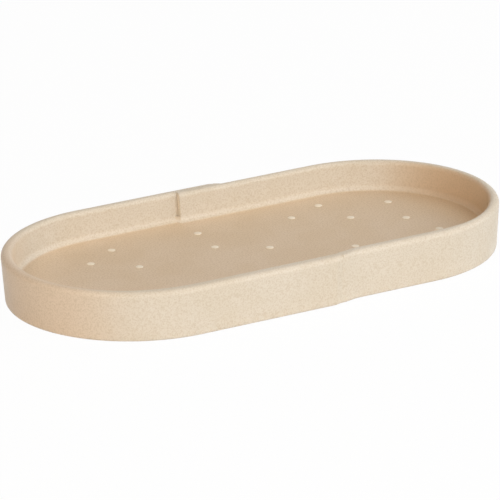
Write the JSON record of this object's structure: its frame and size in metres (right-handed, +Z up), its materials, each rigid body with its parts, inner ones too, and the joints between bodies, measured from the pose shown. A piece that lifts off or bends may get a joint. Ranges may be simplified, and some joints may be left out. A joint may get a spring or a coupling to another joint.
{
  "type": "stoneware tray",
  "caption": "Low oval stoneware tray with straight long sides and round ends, a lapped wall of bent clay bands, a raised level floor and small pale dots on it.",
  "frame": {"origin": "middle of the tray's plan, on the face that it stands on", "axes": "+X along the tray's length towards the end with the inner band, +Y across it, +Z up through the open top"},
  "size_m": [0.3146, 0.16, 0.03],
  "materials": {
    "wall_glaze": "satin sand glaze with fine brown speckle",
    "floor_glaze": "smooth satin tan glaze",
    "coil_glaze": "satin sand glaze, thin on the edge",
    "pale_slip": "pale slip under satin glaze"
  },
  "bodies": {
    "root": {"floor_slab": "floor_glaze", "left_wall_band": "wall_glaze", "right_wall_band": "wall_glaze", "corner_coil": "coil_glaze", "slip_dot_01": "pale_slip", "slip_dot_02": "pale_slip", "slip_dot_03": "pale_slip", "slip_dot_04": "pale_slip", "slip_dot_05": "pale_slip", "slip_dot_06": "pale_slip", "slip_dot_07": "pale_slip", "slip_dot_08": "pale_slip", "slip_dot_09": "pale_slip", "slip_dot_10": "pale_slip", "slip_dot_11": "pale_slip", "slip_dot_12": "pale_slip", "slip_dot_13": "pale_slip", "slip_dot_14": "pale_slip", "slip_dot_15": "pale_slip", "slip_dot_16": "pale_slip", "slip_dot_17": "pale_slip"}
  },
  "joints": []
}
